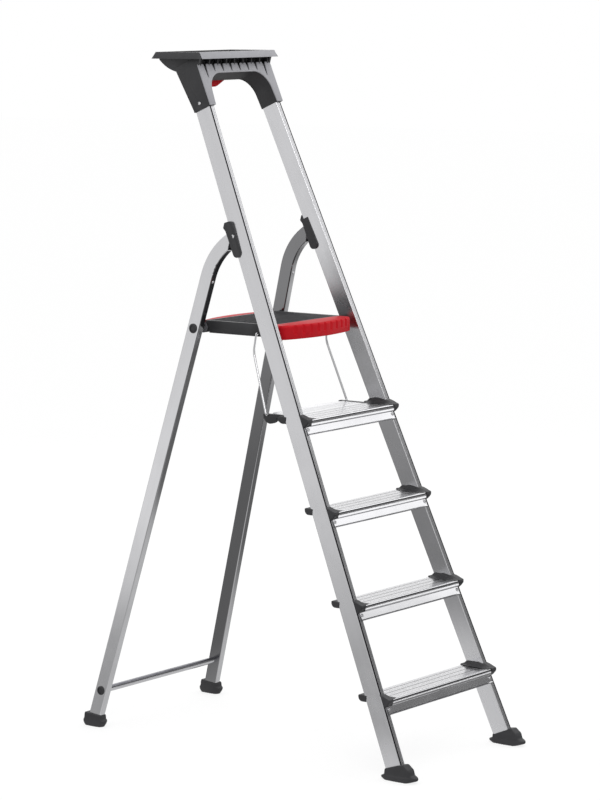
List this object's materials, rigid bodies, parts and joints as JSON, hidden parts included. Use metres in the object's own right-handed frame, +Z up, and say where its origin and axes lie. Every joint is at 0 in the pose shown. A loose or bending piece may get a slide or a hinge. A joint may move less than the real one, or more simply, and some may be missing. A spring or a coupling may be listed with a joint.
{
  "type": "platform step ladder",
  "caption": "Folding step ladder with ribbed treads, a railed standing platform held by wire stays, and a tool tray with a bucket hook.",
  "frame": {"origin": "middle of the footprint on the floor", "axes": "+Z up, +X to the climber's right, +Y from the climbing side to the rear legs"},
  "size_m": [0.54, 1.145, 1.872],
  "materials": {
    "satin_aluminium": "satin",
    "ribbed_aluminium": "satin, ribbed",
    "polished_aluminium": "polished",
    "bright_steel": "bright zinc",
    "black_plastic": "fine texture",
    "hinge_plastic": "plain",
    "light_grey_plastic": "satin",
    "red_plastic": "satin",
    "mat_rubber": "ribbed",
    "foot_rubber": "matt"
  },
  "bodies": {
    "front_frame": {"stile_left": "satin_aluminium", "stile_right": "satin_aluminium", "tread_1": "ribbed_aluminium", "tread_2": "ribbed_aluminium", "tread_3": "ribbed_aluminium", "tread_4": "ribbed_aluminium", "top_tread_shelf": "ribbed_aluminium", "tread_cap_left_1": "black_plastic", "tread_cap_right_1": "black_plastic", "tread_cap_left_2": "black_plastic", "tread_cap_right_2": "black_plastic", "tread_cap_left_3": "black_plastic", "tread_cap_right_3": "black_plastic", "tread_cap_left_4": "black_plastic", "tread_cap_right_4": "black_plastic", "tread_rivets": "bright_steel", "stay_bracket_left": "black_plastic", "stay_bracket_right": "black_plastic", "front_foot_left": "foot_rubber", "front_foot_right": "foot_rubber", "hinge_saddle_left": "black_plastic", "hinge_saddle_right": "black_plastic", "hinge_pin_left": "bright_steel", "hinge_pin_right": "bright_steel", "tool_tray": "black_plastic", "tray_bracket": "black_plastic", "tray_front_panel": "light_grey_plastic", "tray_front_trim": "light_grey_plastic", "tray_screws": "bright_steel", "hook_pin": "bright_steel"},
    "rear_frame": {"rear_leg_left": "polished_aluminium", "rear_leg_right": "polished_aluminium", "leg_hinge_tongue_left": "hinge_plastic", "leg_hinge_tongue_right": "hinge_plastic", "platform_axle": "polished_aluminium", "rear_brace": "polished_aluminium", "axle_plug_left": "black_plastic", "axle_plug_right": "black_plastic", "brace_plug_left": "black_plastic", "brace_plug_right": "black_plastic", "rear_foot_left": "foot_rubber", "rear_foot_right": "foot_rubber", "leg_rivets": "bright_steel"},
    "platform": {"platform_deck": "black_plastic", "platform_mat": "mat_rubber", "platform_front_nosing": "red_plastic", "platform_rear_nosing": "red_plastic", "platform_bush_left": "hinge_plastic", "platform_bush_right": "hinge_plastic"},
    "stay_left": {"stay_left": "bright_steel"},
    "stay_right": {"stay_right": "bright_steel"},
    "bucket_hook": {"bucket_hook": "red_plastic"}
  },
  "joints": [
    {"name": "rear_frame_fold", "type": "hinge", "parent": "front_frame", "child": "rear_frame", "pos_m": [0, 0.0838, 1.384], "axis": [1, 0, 0], "range_deg": [-37.5, 0]},
    {"name": "platform_tilt", "type": "hinge", "parent": "rear_frame", "child": "platform", "pos_m": [0, 0.2115, 1.131], "axis": [1, 0, 0], "range_deg": [-75, 0]},
    {"name": "stay_swing_left", "type": "hinge", "parent": "front_frame", "child": "stay_left", "pos_m": [-0.168, -0.0265, 0.911], "axis": [1, 0, 0], "range_deg": [0, 5.6]},
    {"name": "stay_swing_right", "type": "hinge", "parent": "front_frame", "child": "stay_right", "pos_m": [0.168, -0.0265, 0.911], "axis": [1, 0, 0], "range_deg": [0, 5.6]},
    {"name": "bucket_hook_swing", "type": "hinge", "parent": "front_frame", "child": "bucket_hook", "pos_m": [0, 0.2905, 1.811], "axis": [1, 0, 0], "range_deg": [0, 55]}
  ],
  "couplings": [
    {"joint": "platform_tilt", "follows": "rear_frame_fold", "ratio": 2},
    {"joint": "stay_swing_left", "follows": "rear_frame_fold", "ratio": -0.146},
    {"joint": "stay_swing_right", "follows": "rear_frame_fold", "ratio": -0.146}
  ]
}
